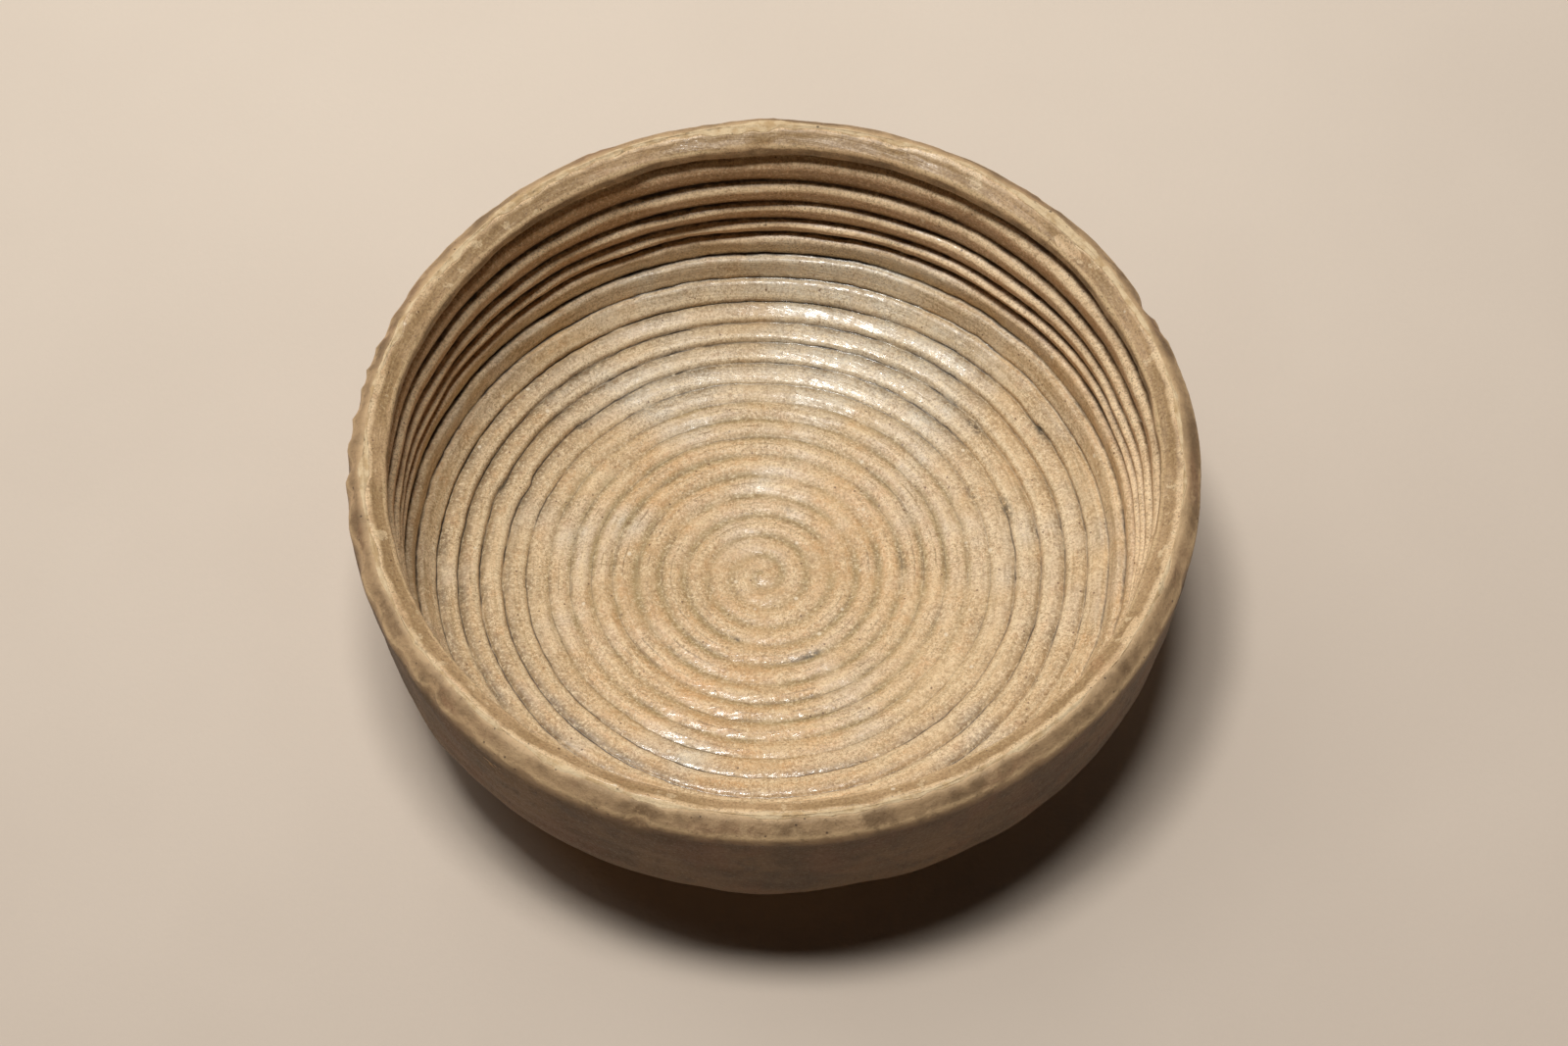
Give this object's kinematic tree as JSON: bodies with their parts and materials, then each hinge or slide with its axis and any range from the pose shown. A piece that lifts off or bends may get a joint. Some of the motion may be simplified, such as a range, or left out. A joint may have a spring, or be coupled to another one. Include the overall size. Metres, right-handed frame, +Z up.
{
  "type": "bowl",
  "caption": "Shallow round stoneware bowl with a flat base, a flared wall, a bevelled rim and a continuous throwing spiral inside, under a thin ash glaze.",
  "frame": {"origin": "centre of the flat base, on the surface the bowl stands on", "axes": "+Z up from the base to the mouth; -Y towards the picture's viewer; the spiral's centre lies a little towards -X"},
  "size_m": [0.1198, 0.1198, 0.039],
  "materials": {
    "stoneware": "matt fired clay, buff to brown, speckled",
    "inner_ash_glaze": "thin worn ash glaze, buff with grey-green and orange-tan areas, dark specks and patchy gloss",
    "outer_ash_glaze": "thin matt ash glaze, olive brown"
  },
  "bodies": {
    "root": {"stoneware_body": "stoneware", "inner_glaze": "inner_ash_glaze", "outer_glaze": "outer_ash_glaze"}
  },
  "joints": []
}
